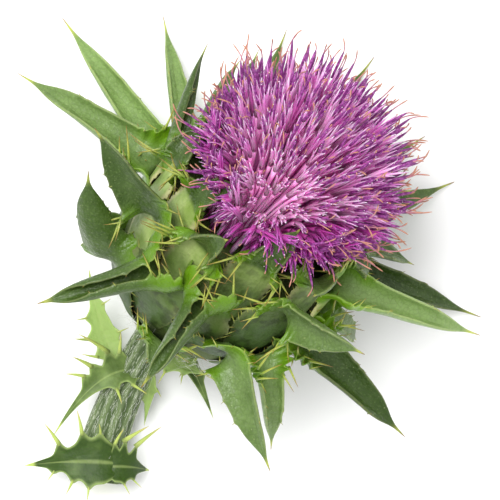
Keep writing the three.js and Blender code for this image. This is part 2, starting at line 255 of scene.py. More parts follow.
def bractTissue():
    # Thistle bract, a fleshy leaf grown with a waxy bloom: satin green that pales where the wax is thick,
    # cream at the scale's edge, yellow-green and glossy at the spiny shoulders, with painted shade toward each
    # scale's foot and over the bracts of low tone.
    material, add, shader, place, along, across, spine, tone, young = startMaterial(
        "waxy thistle bract", "along", "across", "spine", "tone", "young")
    edge = add("Math", across, operation="ABSOLUTE")
    patch = add("TexNoise", place, 1 / (5.0 * mm), 3.0)
    grain = add("TexNoise", place, 1 / (0.7 * mm), 4.0)
    wax = add("Math", add("Math", patch, 0.6, **times), tone, **plus)
    blade = add("Mix", add("MapRange", wax, 0.15, 1.35, **smooth), bractTone["blade"], bractTone["bloom"], **rgba)
    # a faint net of fine sunken veins, about 1 mm apart
    drift = add("TexNoise", place, 1 / (2.0 * mm), output="Color")
    warped = add("VectorMath", drift, (1.5 * mm,) * 3, place, **timesPlus)
    cells = add("TexVoronoi", warped, 1 / (1.0 * mm), feature="DISTANCE_TO_EDGE")
    net = add("MapRange", cells, 0.0, 0.16, **smooth)
    blade = add("Mix", add("Math", net, 0.2, 0.8, **timesPlus), bractTone["net"], blade, **rgba)
    mottle = add("MapRange", add("TexNoise", place, 1 / (0.45 * mm), 2.0), 0.52, 0.75, **smooth)
    blade = add("Mix", add("Math", mottle, 0.35, **times), blade, bractTone["bloom"], **rgba)
    pale = add("MapRange", patch, 0.3, 0.75, **smooth)
    scale = add("Mix", pale, bractTone["scaleDeep"], bractTone["scale"], **rgba)
    # fine veins run along a scale, about 0.4 mm apart
    vein = add("Math", add("Math", across, 40.0, **times), operation="SINE")
    veined = add("Math", add("MapRange", vein, -0.2, 1.0, **smooth), 0.15, **times)
    scale = add("Mix", veined, scale, bractTone["scaleDeep"], **rgba)
    scale = add("Mix", add("MapRange", edge, 0.7, 0.95, **smooth), scale, bractTone["margin"], **rgba)
    scale = add("Mix", young, bractTone["scaleOld"], scale, **rgba)
    # painted shade: the scale darkens toward its foot, where it lies under the bract above
    hollow = add("Math", add("MapRange", along, -0.22, -0.5, **smooth), 0.55, **times)
    scale = add("Mix", hollow, scale, bractTone["hollow"], **rgba)
    stain = add("MapRange", add("TexNoise", place, 1 / (2.6 * mm), 4.0), 0.48, 0.62, **smooth)
    stain = add("Math", add("Math", stain, 0.6, **times), add("MapRange", young, 1.0, 0.2, **smooth), **times)
    scale = add("Mix", stain, scale, bractTone["stain"], **rgba)
    colour = add("Mix", add("MapRange", along, -0.12, 0.02, **smooth), scale, blade, **rgba)
    rising, falling = [add("MapRange", along, *ends, **smooth) for ends in ((-0.1, 0.0), (0.34, 0.1))]
    shoulder = add("Math", rising, falling, **times)
    shoulder = add("Math", shoulder, add("MapRange", edge, 0.15, 0.95, **smooth), **times)
    colour = add("Mix", shoulder, colour, bractTone["shoulder"], **rgba)
    rim = add("Math", add("MapRange", edge, 0.94, 1.0, **smooth), 0.12, **times)
    colour = add("Mix", rim, colour, bractTone["margin"], **rgba)
    # pores and dust show as pale specks, drawn coarser than the real 0.05 mm
    dots = add("MapRange", add("TexVoronoi", place, 1 / (0.9 * mm)), 0.2, 0.08, **smooth)
    speck = add("Math", dots, add("MapRange", grain, 0.45, 0.6, **smooth), **times)
    speck = add("Math", speck, add("MapRange", along, 0.0, 0.2, **smooth), **times)
    colour = add("Mix", add("Math", speck, 0.4, **times), colour, bractTone["speck"], **rgba)
    thorn = add("Mix", add("MapRange", spine, 0.45, 1.0, **smooth), bractTone["spine"], bractTone["spineTip"], **rgba)
    colour = add("Mix", add("MapRange", spine, 0.02, 0.5, **smooth), colour, thorn, **rgba)
    # painted shade: bracts of low tone are multiplied by grey, as if they lay in shade
    shade = add("Mix", add("MapRange", tone, 0.0, 0.8, **smooth), bractTone["shaded"], bractTone["lit"], **rgba)
    colour = add("Mix", 1.0, colour, shade, blend_type="MULTIPLY", **rgba)
    # the wax gloss breaks up with the grain, and the scales are duller than the blades
    dull = add("Math", add("MapRange", along, 0.02, -0.12, **smooth), 0.25, 0.22, **timesPlus)
    pucker = add("Math", add("TexNoise", place, 1 / (1.6 * mm), 3.0), add("Math", grain, 0.35, **times), **plus)
    sunken = add("Math", net, add("Math", add("MapRange", along, -0.05, 0.1, **smooth), 0.1, **times), **times)
    ridges = add("Math", add("Math", pucker, sunken, **plus), add("Math", vein, 0.02, **times), **plus)
    fill(shader, {
        "Base Color": colour, "Roughness": add("Math", grain, 0.22, dull, **timesPlus),
        "Specular IOR Level": 0.28, "Coat Weight": 0.1, "Coat Roughness": 0.15,
        "Subsurface Weight": 0.08, "Subsurface Radius": (0.6, 1.0, 0.3), "Subsurface Scale": 1.0 * mm,
        "Normal": add("Bump", Height=ridges, Distance=0.32 * mm, Strength=1.0),
    })
    return material


leafTone = {"blade": "#2b4406", "bloom": "#96b062", "rib": "#a9bb72", "spine": "#a9b85e", "spineTip": "#b3a65e"}


def leafTissue():
    # Thistle leaf, thin and soft: satin green with paler bloom, a pale midrib and straw-coloured spines.
    material, add, shader, place, across, spine, tone = startMaterial("thistle stem leaf", "across", "spine", "tone")
    edge = add("Math", across, operation="ABSOLUTE")
    wax = add("Math", add("Math", add("TexNoise", place, 1 / (4.0 * mm), 3.0), 0.8, **times), tone, **plus)
    colour = add("Mix", add("MapRange", wax, 0.3, 1.3, **smooth), leafTone["blade"], leafTone["bloom"], **rgba)
    for ends, strength in (((0.14, 0.02), 0.3), ((0.8, 1.0), 0.5)):  # the midrib and the margin
        line = add("Math", add("MapRange", edge, *ends, **smooth), strength, **times)
        colour = add("Mix", line, colour, leafTone["rib"], **rgba)
    thorn = add("Mix", add("MapRange", spine, 0.5, 1.0, **smooth), leafTone["spine"], leafTone["spineTip"], **rgba)
    colour = add("Mix", add("MapRange", spine, 0.02, 0.35, **smooth), colour, thorn, **rgba)
    fill(shader, {
        "Base Color": colour, "Roughness": 0.5, "Specular IOR Level": 0.3,
        "Subsurface Weight": 0.2, "Subsurface Radius": (0.6, 1.0, 0.3), "Subsurface Scale": 1.0 * mm,
        "Normal": add("Bump", Height=add("TexNoise", place, 1 / (1.2 * mm), 3.0), Distance=0.2 * mm, Strength=1.0),
    })
    return material


stemTone = {
    "groove": "#43562c", "ridge": "#66784c", "wool": "#aab398", "pith": "#c5cf97", "crevice": "#44561c",
    "hairShade": "#d5d9cb", "hair": "#f1f2ea",
}


def stemSkin():
    # Thistle stem, fibrous and ribbed, with wool pressed into streaks along it: dull grey-green, whiter on the ribs;
    # the fleshy core under the scales is darkened there by painted shade.
    material, add, shader, place, ridge, cut, crevice, ringX, ringY, run = startMaterial(
        "ribbed woolly stem", "ridge", "cut", "crevice", "ringX", "ringY", "run")
    # the streaks are about 0.3 mm wide round the stem and drawn out along it
    streak = add("TexNoise", add("CombineXYZ", ringX, ringY, run), 1 / 0.3125, 5.0)
    fibres = add("TexNoise", place, 1 / (0.6 * mm), 4.0)
    colour = add("Mix", add("MapRange", ridge, 0.1, 0.95, **smooth), stemTone["groove"], stemTone["ridge"], **rgba)
    wool = add("MapRange", streak, 0.5, 0.62, **smooth)
    for pattern, low, high in ((fibres, 0.35, 0.6), (run, -3.0, 4.0)):
        wool = add("Math", wool, add("MapRange", pattern, low, high, **smooth), **times)
    colour = add("Mix", add("Math", wool, 0.8, **times), colour, stemTone["wool"], **rgba)
    colour = add("Mix", cut, colour, stemTone["pith"], **rgba)
    # painted shade on the receptacle core, deep between the scales
    colour = add("Mix", crevice, colour, stemTone["crevice"], **rgba)
    grooved = add("Bump", Height=add("Math", fibres, streak, **plus), Distance=0.35 * mm, Strength=1.0)
    fill(shader, {"Base Color": colour, "Roughness": 0.75, "Normal": grooved})
    return material


def woolFibre():
    # Plant wool, dead white hairs: bright, matt and soft.
    material, add, shader, place = startMaterial("white plant wool")
    colour = add("Mix", add("TexNoise", place, 1 / (0.5 * mm), 3.0), stemTone["hairShade"], stemTone["hair"], **rgba)
    fill(shader, {"Base Color": colour, "Roughness": 0.9, "Sheen Weight": 0.3})
    return material


floretTone = {
    "tube": "#ffb6e6", "throat": "#ffa8df", "lobe": "#ffa8e2", "lobeTip": "#ebc4f0",
    "anther": "#6c1f68", "antherPale": "#a857a2", "style": "#a4566a", "stigma": "#a8643c", "pollen": "#f3ebee",
    "pollenShade": "#e7c9de", "shaded": "#b067a8", "lit": "#ffffff",
}


def corollaTissue():
    # Floret corolla, a thin wet petal: pale pink tube, clear pink throat and lilac lobes whose ends pale, partly
    # their own colour and partly a painted highlight; each floret also carries painted light and shade by its tone.
    material, add, shader, place, along, tone = startMaterial("pink-purple corolla", "along", "tone")
    colour = add("Mix", add("MapRange", along, 0.0, 0.5, **smooth), floretTone["tube"], floretTone["throat"], **rgba)
    colour = add("Mix", add("MapRange", along, 0.45, 0.8, **smooth), colour, floretTone["lobe"], **rgba)
    # partly painted highlight: the last fifth of each lobe pales toward a near-white lilac
    paleEndAndHighlight = add("Math", add("MapRange", along, 0.8, 1.0, **smooth), 0.8, **times)
    colour = add("Mix", paleEndAndHighlight, colour, floretTone["lobeTip"], **rgba)
    # painted light and shade: each floret's colour is multiplied by a shade from purple up to white, by its tone
    shade = add("Mix", tone, floretTone["shaded"], floretTone["lit"], **rgba)
    fill(shader, {
        "Base Color": add("Mix", 1.0, colour, shade, blend_type="MULTIPLY", **rgba),
        "Roughness": 0.45, "Specular IOR Level": 0.35,
        "Subsurface Weight": 0.7, "Subsurface Radius": (1.0, 0.35, 0.8), "Subsurface Scale": 2.0 * mm,
    })
    return material


def antherTissue():
    # Anther tube, five fused stamens: dark red-purple and a little waxy.
    material, add, shader, place, along = startMaterial("purple anther tube", "along")
    streak = add("MapRange", add("TexNoise", place, 1 / (0.6 * mm), 3.0), 0.4, 0.7, **smooth)
    colour = add("Mix", streak, floretTone["anther"], floretTone["antherPale"], **rgba)
    colour = add("Mix", add("MapRange", along, 0.8, 1.0, **smooth), colour, floretTone["anther"], **rgba)
    fill(shader, {"Base Color": colour, "Roughness": 0.5})
    return material


def styleTissue():
    # Style and stigma, a fine stalk: dull pink, turning rust-orange at its dusty end.
    material, add, shader, place, along = startMaterial("rust-tipped style", "along")
    aged = add("MapRange", along, 0.35, 0.8, **smooth)
    colour = add("Mix", aged, floretTone["style"], floretTone["stigma"], **rgba)
    dust = add("Math", add("TexNoise", place, 1 / (0.4 * mm), 3.0), 0.2, **times)
    fill(shader, {"Base Color": add("Mix", dust, colour, floretTone["pollen"], **rgba), "Roughness": 0.65})
    return material


def pollenGrain():
    # Pollen, sticky clumps: near white with a pink cast.
    material, add, shader, place = startMaterial("pale pollen")
    clumps = add("TexNoise", place, 1 / (0.3 * mm), 3.0)
    colour = add("Mix", clumps, floretTone["pollen"], floretTone["pollenShade"], **rgba)
    fill(shader, {"Base Color": colour, "Roughness": 0.8})
    return material


bractMaterial, leafMaterial, stemMaterial = bractTissue(), leafTissue(), stemSkin()
woolMaterial, corollaMaterial = woolFibre(), corollaTissue()
antherMaterial, styleMaterial, pollenMaterial = antherTissue(), styleTissue(), pollenGrain()


bladeForm = {
    "rows": 150, "around": 40,
    # stops along the bract: -1 is the scale's foot, 0 the free edge of the scale, 1 the tip
    "stops": [-1, -0.6, -0.25, -0.08, 0.0, 0.05, 0.1, 0.18, 0.35, 0.55, 0.7, 0.79, 0.85, 0.9, 0.95, 1.0],
    "width": [0.85, 1.15, 1.2, 1.02, 1.1, 1.42, 1.3, 1.0, 0.84, 0.68, 0.47, 0.28, 0.14, 0.06, 0.035, 0.01],
    "thickness": [0.5, 0.7, 0.8, 1.0, 1.3, 1.6, 1.5, 1.35, 1.25, 1.2, 1.1, 0.9, 0.6, 0.36, 0.26, 0.05],
    "roll": [0.0, 0.0, 0.0, 0.15, 0.5, 0.8, 0.95, 1.1, 1.2, 1.2, 1.0, 0.75, 0.5, 0.3, 0.2, 0.1],
    "scaleSpan": 34.0,  # degrees of lean that the scale covers
    "scaleCurl": 0.3,  # half the angle of its section, which follows the globe
    "scaleShare": 0.22,  # its share of the rows
    "scaleSink": 1.1, "scaleRise": 1.7,  # how deep its foot lies under the globe's skin, and its climb from there
    "deepestLean": 165,  # where the feet of the lowest scales stop, beside the stem
    "knee": 0.22, "kneePush": 1.5, "smoothing": 14,
    "spines": 6, "bristles": 5, "spineLength": 4.2, "spineRadius": 0.23, "spineSteps": 7, "spineSides": 7,
    "spineRoot": 0.7, "spineLift": (-0.9, 0.5),
    "toothWidth": 0.02, "toothHeight": 1.2, "toothSharp": 6,
    "ruffle": 0.8, "ruffleLength": 0.075,
    # random lines along the blade: the number of waves and their strength
    "breadthWaves": (6, 0.035), "rollWaves": (4, 0.06), "ruffleWaves": (7, 2.2),
    "puckerWaves": (9, 0.07), "creaseWaves": (14, 0.05),
    "tipStart": 0.84,
}


def profile(stops, values, at):
    # values between stops, with the corners rounded by a short running mean
    samples, window = 800, 27
    fine = np.linspace(stops[0], stops[-1], samples)
    line = np.interp(fine, stops, values)
    kernel = np.hanning(window)
    padded = np.pad(line, window // 2, mode="edge")
    line = np.convolve(padded, kernel / kernel.sum(), mode="valid")
    return np.interp(at, fine, line)


def rolledSection(centre, across, outward, width, roll, thickness, around):
    # a strip bent into an arc, thickened to a lens with round edges:
    # x = r sin(a), z = -r (1 - cos(a)), r = width / (2 roll)
    angle = np.linspace(0, 2 * np.pi, around, endpoint=False)
    place = np.cos(angle)  # 1 and -1 are the edges
    depth = np.sign(np.sin(angle)) * np.abs(np.sin(angle)) ** 0.7
    roll = np.where(np.abs(roll) < 0.02, 0.02, roll)[:, None]
    radius = width[:, None] / (2 * roll)
    bend = roll * place
    x = radius * np.sin(bend)
    z = -radius * (1 - np.cos(bend))
    normal = outward[:, None] * np.cos(bend)[..., None] + across[:, None] * np.sin(bend)[..., None]
    middle = centre[:, None] + across[:, None] * x[..., None] + outward[:, None] * z[..., None]
    edgeWay = across[:, None] * np.cos(bend)[..., None] - outward[:, None] * np.sin(bend)[..., None]
    rings = middle + normal * (0.5 * thickness[:, None] * depth)[..., None]
    return rings, place, edgeWay, normal


def smoothPath(points, rounds):
    # each inner point moved to the mean of itself and its neighbours, the ends kept
    for _ in range(rounds):
        points[1:-1] = 0.25 * points[:-2] + 0.5 * points[1:-1] + 0.25 * points[2:]
    return points


def towardsSky(tangent, across, outward, inner):
    # the turn about the blade's own line that brings its outer face (or inner, if asked) to the sky
    sky = np.array([0, 0, 1.0]) - tangent[2] * tangent
    angle = -np.arctan2(sky @ across, sky @ outward)
    if inner:
        angle = angle + np.pi if angle < 0 else angle - np.pi
    return angle


def makeBlade(rng, path, at, acrossStart, outwardStart, form, width, look, spines):
    # a rolled blade along a path, with a tooth and a spine at each place in spines (place, side, length, lean)
    tangent = unit(np.gradient(path, axis=0))
    across = unit(acrossStart - (tangent @ acrossStart)[:, None] * tangent)
    outward = np.cross(tangent, across)
    if outward[0] @ outwardStart < 0:
        outward = -outward
    middle = np.searchsorted(at, 0.5)
    sky = abs(look["face"]) * towardsSky(tangent[middle], across[middle], outward[middle], look["face"] < 0)
    turn = sky * np.sin(np.pi / 2 * np.clip(at / 0.2, 0, 1))
    turn = turn + np.radians(look["twist"]) * np.clip(at, 0, 1) ** 0.8
    across, outward = (
        across * np.cos(turn)[:, None] + outward * np.sin(turn)[:, None],
        outward * np.cos(turn)[:, None] - across * np.sin(turn)[:, None],
    )
    breadth = width * look["broad"] * profile(form["stops"], form["width"], at)
    breadth = breadth * (1 + waves(rng, at, *form["breadthWaves"]))
    thick = profile(form["stops"], form["thickness"], at)
    curl = profile(form["stops"], form["roll"], at) * look["roll"] * (1 + waves(rng, at, *form["rollWaves"]))
    curl = curl + form["scaleCurl"] * np.clip(-at * 8, 0, 1)
    rings, place, edgeWay, normal = rolledSection(path, across, outward, breadth, curl, thick, form["around"])
    spineAt, spineSide, spineLong, spineLean = np.array(spines).T
    tooth = np.zeros((len(at), 2))
    for column, side in enumerate((1, -1)):
        mine = spineSide == side
        reach = np.exp(-((at[:, None] - spineAt[mine]) / form["toothWidth"]) ** 2)
        high = reach * form["toothHeight"] * np.clip(spineLong[mine] / 4, 0.3, 1.4)
        tooth[:, column] = high.max(axis=1, initial=0)
    pull = np.where(place > 0, tooth[:, :1], tooth[:, 1:]) * np.abs(place) ** form["toothSharp"]
    rings = rings + edgeWay * (np.sign(place) * pull)[..., None]
    # the shoulders are ruffled: their margin rises and falls about once for each spine
    shoulder = np.clip((at + 0.1) / 0.08, 0, 1) * np.clip((0.27 - at) / 0.1, 0, 1)
    wave = np.cos(2 * np.pi * at / form["ruffleLength"] + waves(rng, at, *form["ruffleWaves"]))[:, None]
    wave = wave * np.where(place > 0, 1, -0.8)
    height = form["ruffle"] * look["ruffle"] * shoulder[:, None] * wave * np.abs(place) ** 3
    rings = rings + normal * height[..., None]
    # low puckers across the blade keep it from looking moulded
    ripple = waves(rng, at, *form["puckerWaves"])[:, None] * np.cos(3 * np.pi * place)
    ripple = ripple + waves(rng, at, *form["creaseWaves"])[:, None] * place
    rings = rings + normal * (ripple * np.clip(1 - np.abs(at[:, None]) ** 6, 0, 1))[..., None]
    tip = np.clip((at - form["tipStart"]) / (1 - form["tipStart"]), 0, 1)[:, None] ** 1.6
    tone = np.full(rings.shape[:2], look["tone"] + rng.uniform(-0.08, 0.08))
    values = {"along": at[:, None], "across": place[None], "spine": tip, "tone": tone, "young": look["young"]}
    parts = [makeSkin(rings, values)]
    # each spine grows out of its tooth, bent a little, straw-yellow with a darker point
    row = np.searchsorted(at, spineAt).clip(1, len(at) - 2)
    edge = np.where(spineSide > 0, 0, form["around"] // 2)
    root = rings[row, edge]
    out = edgeWay[row, edge] * spineSide[:, None]
    lift = rng.uniform(*form["spineLift"], len(row))[:, None]
    direction = unit(out + spineLean[:, None] * tangent[row] + lift * normal[row, edge])
    t = np.linspace(0, 1, form["spineSteps"])
    bend = unit(tangent[row] + 0.4 * rng.normal(size=(len(row), 3))) * (0.1 * spineLong)[:, None]
    start = root - direction * form["spineRoot"]
    paths = start[:, None] + direction[:, None] * (t[:, None] * (spineLong[:, None, None] + form["spineRoot"]))
    paths = paths + bend[:, None] * (t ** 2)[:, None]
    radii = form["spineRadius"] * np.clip(spineLong / 4, 0.5, 1.3)[:, None] * (1 - t) ** 0.8 + 0.015
    values = {"along": spineAt[:, None], "across": spineSide[:, None], "tone": tone[0, 0]}
    values["spine"] = 0.1 + 0.9 * t[None]
    parts.append(makeTubes(paths, radii, form["spineSides"], values))
    return parts


def bractParts(seed, turn, lean, tip, width, bow, look):
    # the scale follows the globe from its foot, then the blade bows out and runs to its tip along a Bezier curve
    rng = np.random.default_rng(seed)
    form = bladeForm
    footRows = int(form["rows"] * form["scaleShare"])
    leans = np.linspace(min(lean + form["scaleSpan"] * look["span"], form["deepestLean"]), lean, footRows)
    u = np.linspace(0, 1, footRows)
    scalePath = globePoint(turn, leans, form["scaleRise"] * u ** 1.5 - form["scaleSink"])
    start = scalePath[-1]
    out = unit(globePoint(turn, lean, 1.0) - globePoint(turn, lean, 0.0))
    forward = unit(globePoint(turn, lean - 2, 0.0) - globePoint(turn, lean, 0.0))
    aside = unit(np.cross(out, forward))
    tip = np.array(tip, float)
    knee = start + form["knee"] * (tip - start) + bow * out + form["kneePush"] * forward
    b = np.linspace(0, 1, form["rows"] - footRows + 1)[1:] ** 1.2
    late = knee + 0.45 * (tip - knee)
    early = start + 0.75 * (knee - start)
    weight = [(1 - b) ** 3, 3 * b * (1 - b) ** 2, 3 * b ** 2 * (1 - b), b ** 3]
    bladePath = sum(w[:, None] * p for w, p in zip(weight, (start, early, late, tip)))
    path = smoothPath(np.concatenate([scalePath, bladePath]), form["smoothing"])
    at = np.concatenate([u - 1, b])
    spines = []  # place, side, length and lean: long ones on the shoulders, short ones on the blade, then bristles
    for side in (1, -1):
        for place in np.linspace(-0.04, 0.2, form["spines"]):
            size = form["spineLength"] * look["spineScale"] * (0.75 + 0.5 * np.sin(np.pi * (place + 0.05) / 0.26))
            spot = place + rng.uniform(-0.012, 0.012)
            spines.append((spot, side, size * rng.uniform(0.6, 1.35), rng.uniform(-0.9, 0.8)))
        for place in rng.uniform(0.3, 0.7, 2):
            spines.append((place, side, rng.uniform(0.3, 0.7), 0.5))
        for place in np.linspace(-0.5, -0.1, form["bristles"]):
            spines.append((place + rng.uniform(-0.02, 0.02), side, rng.uniform(0.9, 2.2), rng.uniform(0.6, 1.4)))
    return makeBlade(rng, path, at, aside, out, form, width, look, spines)


# turn and lean of the scale's free edge, tip, width of the shoulders and bow, as in the frame
bracts = {
    "outer_bract": [
        (-116, 92, (-38, 47, 0), 9.5, 3),
        (-129, 89, (-17.6, 47.4, 0), 8, 2),
        (-154, 84, (7.4, 44.6, 0), 8, 2),
        (-178, 86, (25.2, 39.2, 0), 9, 2),
        (163, 80, (35.4, 23, 0), 9, 2),
        (148, 82, (41.4, 13.8, 0), 10, 2),
        (129, 82, (46.8, -13.6, 0), 10, 2),
        (-97, 82, (-46.8, 35.6, 10.5), 10, 3),
        (-44, 104, (-32, 15.6, 45.5), 11, 6),
        (58, 98, (4.2, -40, 20.5), 8, 4),
        (33, 92, (4, -44, 37.5), 10, 7),
        (76, 87, (31, -37.4, 22.5), 10, 5),
        (97, 84, (21.4, -18.2, 10.5), 8, 4),
        (-73, 112, (-25, 7, 17), 8, 2),
        (4, 118, (-18.6, -24, 34), 7, 2),
        (150, 112, (4, 2, 0.9), 8, 1),
        (-160, 114, (-9, 10, 0.9), 8, 1),
        (112, 116, (6, -21, 3), 8, 2),
        (-100, 122, (-27, 6, 6), 8, 2),
    ],
    "middle_bract": [
        (-20, 82, (-42, -10.6, 50), 11, 6),
        (6, 76, (-21.4, -27, 58.5), 11, 6),
        (97, 66, (46.4, -17.2, 9.5), 9, 5),
        (-44, 67, (-30.6, 24, 53.5), 11, 5),
        (-92, 66, (-8.4, 41.4, 25.5), 8, 3),
        (-138, 72, (1.8, 40.4, 10.5), 8, 3),
        (47, 62, (22.6, -20.6, 55), 10, 5),
        (178, 62, (27, 25, 6.5), 8, 3),
        (153, 60, (33, 12, 7.5), 8, 3),
        (125, 60, (33, -3, 15), 8, 3),
        (-116, 62, (-2, 38, 21), 8, 3),
    ],
    "inner_bract": [
        (-67, 52, (-8.4, 24.4, 41.5), 8, 3),
        (-11, 53, (-4.2, 2, 62), 10, 4),
        (64, 48, (12.4, -9.2, 53.5), 8, 3),
        (20, 44, (10.2, 4.4, 56.5), 8, 3),
        (-38, 45, (-1, 12.4, 52.5), 8, 2),
        (95, 46, (23, -6, 34), 8, 3),
        (125, 45, (24, 5, 20), 8, 3),
        (155, 44, (22, 15, 15), 8, 3),
        (-175, 46, (18, 23, 15), 8, 3),
        (-145, 46, (10, 28, 20), 8, 3),
        (-112, 46, (1, 27, 31), 8, 3),
    ],
}

# how blades differ: roll turns the edges in (or out, if negative), face turns the blade's outer side to the sky
# (or its inner side, if negative), twist is in degrees, tone runs from deep green to pale bloom and on bracts also
# from painted shade to full light, young from an old green scale to a pale new one, and the others are shares of the
# usual size
plainLook = {
    "roll": 1.0, "face": 0.0, "twist": 0.0, "broad": 1.0, "ruffle": 1.0, "spineScale": 1.0, "span": 1.0,
    "tone": 0.3, "young": 0.5,
}
bractHabits = {
    "outer_bract_01": {"roll": 1.5, "face": -0.6, "twist": -14, "tone": 0.65, "broad": 1.15},
    "outer_bract_02": {"roll": 1.3, "face": -0.5, "tone": 0.55},
    "outer_bract_07": {"roll": 1.3, "face": -0.5, "tone": 0.0, "spineScale": 0.6, "ruffle": 0.3},
    "outer_bract_08": {"roll": 1.4, "face": -0.6, "tone": 0.5, "broad": 1.15},
    "outer_bract_09": {"roll": 0.8, "face": 0.8, "tone": 0.15, "broad": 1.1, "spineScale": 0.7},
    "outer_bract_10": {"roll": 1.5, "face": -0.5, "tone": 0.5, "broad": 1.1, "span": 0.9},
    "outer_bract_11": {
        "span": 0.5, "roll": -0.9, "face": 0.8, "tone": 0.35, "broad": 1.05, "spineScale": 0.45, "ruffle": 0.2},
    "outer_bract_12": {"roll": 1.2, "face": -0.5, "tone": 0.0, "broad": 1.15, "span": 0.9},
    "outer_bract_13": {"roll": 1.2, "tone": 0.4},
    "middle_bract_01": {"roll": 2.3, "face": -0.8, "tone": 0.3, "broad": 1.3, "ruffle": 0.4, "young": 0.2},
    "middle_bract_02": {"roll": 2.2, "face": -0.8, "tone": 0.25, "broad": 1.2, "ruffle": 0.4, "young": 0.2},
    "middle_bract_03": {"roll": 1.7, "face": -0.6, "tone": 0.85, "broad": 1.25, "spineScale": 0.6, "ruffle": 0.3},
    "middle_bract_04": {"roll": -0.8, "face": 0.7, "tone": 0.05, "young": 1.0, "ruffle": 0.5},
    "middle_bract_05": {"roll": 1.4, "tone": 0.2, "young": 1.0},
    "middle_bract_07": {"roll": -1.2, "face": 0.6, "tone": 0.4, "broad": 1.15, "spineScale": 1.1, "young": 0.15},
    "inner_bract_01": {"roll": -0.9, "face": 0.6, "tone": 0.2},
    "inner_bract_02": {"roll": -1.2, "face": 0.3, "tone": 0.15, "spineScale": 1.1},
    "inner_bract_03": {"young": 0.4},
    "inner_bract_04": {"roll": -1.1, "face": 0.7, "tone": 0.15, "broad": 1.1, "young": 0.6},
    "inner_bract_05": {"roll": -1.0, "face": 0.7, "tone": 0.1},
}
seriesLooks = {
    "outer_bract": {"young": 0.0, "span": 1.4}, "middle_bract": {"young": 0.75}, "inner_bract": {"young": 1.0},
}
bractSeed, leafSeed, hairSeed, floretSeed = 100, 300, 5, 21

seed = bractSeed
for series, entries in bracts.items():
    for number, entry in enumerate(entries, 1):
        name = f"{series}_{number:02d}"
        seed += 1
        look = {**plainLook, **seriesLooks[series], **bractHabits.get(name, {})}
        parts = bractParts(seed, *entry, look)
        buildPiece(f"{name}_grown", parts, [bractMaterial], [name])
print("bracts made")

leafForm = dict(
    bladeForm,
    rows=110, around=32,
    stops=[0, 0.12, 0.3, 0.45, 0.6, 0.75, 0.88, 1.0],
    width=[0.7, 0.95, 1.0, 0.8, 0.5, 0.27, 0.12, 0.01],
    thickness=[0.9, 0.75, 0.6, 0.55, 0.5, 0.45, 0.35, 0.05],
    roll=[0.5, 0.5, 0.45, 0.45, 0.4, 0.3, 0.2, 0.1],
    scaleCurl=0.0, toothWidth=0.05, toothHeight=1.8, toothSharp=3,
    spineRadius=0.42, spineLift=(-0.5, 0.3), ruffle=0.0,
)

# root, bend, tip and width, as in the frame, then the spines: place along the leaf, side, length and lean to the tip
stemLeaves = [
    ((-27.2, -22, 8), (-31.5, -13, 8), (-32.4, -3.8, 12), 5,
     [(0.1, 1, 3, 0.6), (0.3, 1, 3.5, 0.4), (0.5, 1, 2.5, 0.2), (0.25, -1, 2, 0.0), (0.6, -1, 1.5, 0.3)],
     {"tone": 1.0}),
    ((-22.4, -24.4, 9), (-30.5, -22.5, 13), (-40, -38, 9), 5,
     [(0.3, -1, 9, 0.6), (0.2, -1, 4, -0.3), (0.45, -1, 5, 0.3), (0.55, -1, 4, 0.6),
      (0.35, 1, 3.5, 0.1), (0.1, 1, 3.5, -0.8)],
     {"tone": 0.25}),
    ((-27.4, -43, 8.9), (-35, -42, 13.5), (-45.6, -43.6, 3), 9,
     [(0.2, -1, 3, 0.1), (0.38, -1, 4.5, 0.1), (0.62, -1, 5, 0.3),
      (0.3, 1, 2.5, 0.0), (0.5, 1, 3, 0.3), (0.7, 1, 2, 0.5)],
     {"tone": 0.0}),
    ((-28.4, -43.7, 9), (-24, -43.4, 10.5), (-20.4, -44.6, 2), 7,
     [(0.15, 1, 4, 0.4), (0.3, 1, 6, 0.7), (0.5, 1, 6, 0.6), (0.35, -1, 2, 0.4), (0.6, -1, 2, 0.5)], {"tone": -0.3}),
    ((-20, -25, 7), (-20.5, -30, 5), (-21.4, -35.6, 4), 2.5,
     [(0.3, 1, 1.5, 0.5), (0.5, -1, 1.5, 0.5)], {"tone": 0.6}),
    ((-14.5, -18.5, 12), (-10.5, -25, 13), (-7.4, -34, 9), 3.5,
     [(0.2, 1, 2, 0.5), (0.35, -1, 1.5, 0.5), (0.5, 1, 1.5, 0.5)], {"tone": 0.2}),
    ((-17.5, -19, 13), (-14, -23, 19), (-9, -25, 18), 7,
     [(0.3, 1, 2.5, 0.5), (0.5, 1, 2.5, 0.3), (0.7, 1, 2, 0.3), (0.4, -1, 2.5, 0.2), (0.65, -1, 2, 0.4)],
     {"tone": 0.5}),
]


def leafParts(seed, root, bend, tip, width, spines, look):
    # a leaf along a quadratic Bezier curve, its upper face to the sky
    rng = np.random.default_rng(seed)
    root, bend, tip = [np.array(p, float) for p in (root, bend, tip)]
    at = np.linspace(0, 1, leafForm["rows"])
    path = (1 - at)[:, None] ** 2 * root + (2 * at * (1 - at))[:, None] * bend + at[:, None] ** 2 * tip
    path = path + np.array([0, 0, 1.0]) * waves(rng, at, 4, 0.3)[:, None] * np.sin(np.pi * at)[:, None]
    down = np.array([0, 0, -1.0])
    across = unit(np.cross(path[-1] - path[0], down))
    return makeBlade(rng, path, at, across, down, leafForm, width, {**plainLook, **look}, spines)


for number, leaf in enumerate(stemLeaves, 1):
    parts = leafParts(leafSeed + number, *leaf)
    buildPiece(f"stem_leaf_{number}_grown", parts, [leafMaterial], [f"stem_leaf_{number}"])
print("stem leaves made")


